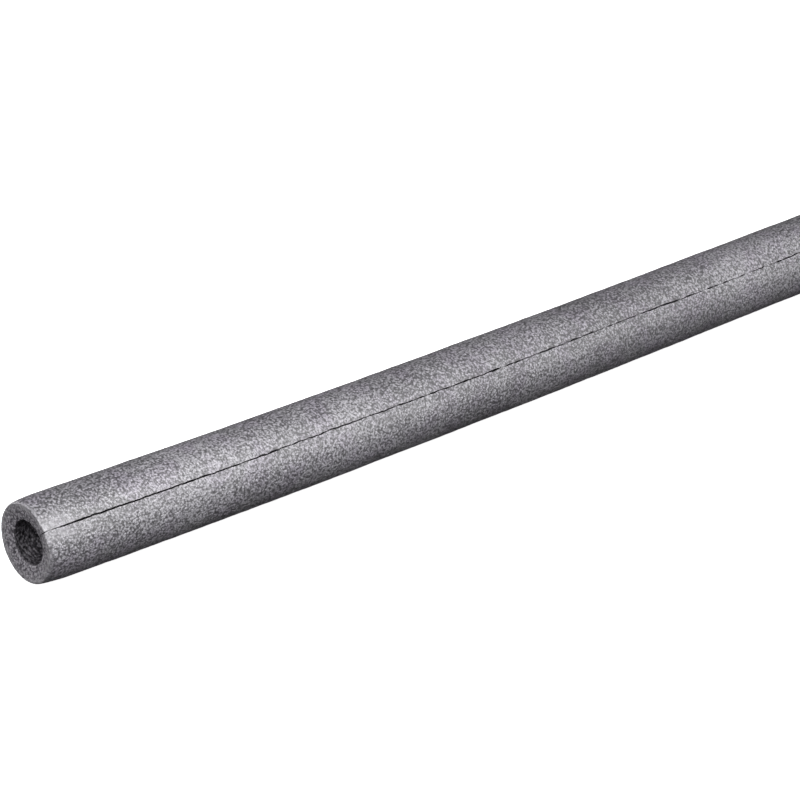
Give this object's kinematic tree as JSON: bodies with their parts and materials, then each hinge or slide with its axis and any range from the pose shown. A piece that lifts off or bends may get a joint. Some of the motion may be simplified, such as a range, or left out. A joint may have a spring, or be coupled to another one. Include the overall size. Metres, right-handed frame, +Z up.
{
  "type": "pipe insulation",
  "caption": "Straight length of grey closed-cell foam pipe insulation with a round bore, slit through the wall along its side, slightly bowed as it lies.",
  "frame": {"origin": "on the floor, under the middle of the tube's bounding box", "axes": "+X along the tube from the end seen in the picture to the far end, +Z up, +Y away from the side that carries the slit"},
  "size_m": [1.0016, 0.0458, 0.037],
  "materials": {
    "grey_foam": "dull mid-grey closed-cell polyethylene foam with a fine pebbled skin"
  },
  "bodies": {
    "root": {"foam_tube": "grey_foam"}
  },
  "joints": []
}
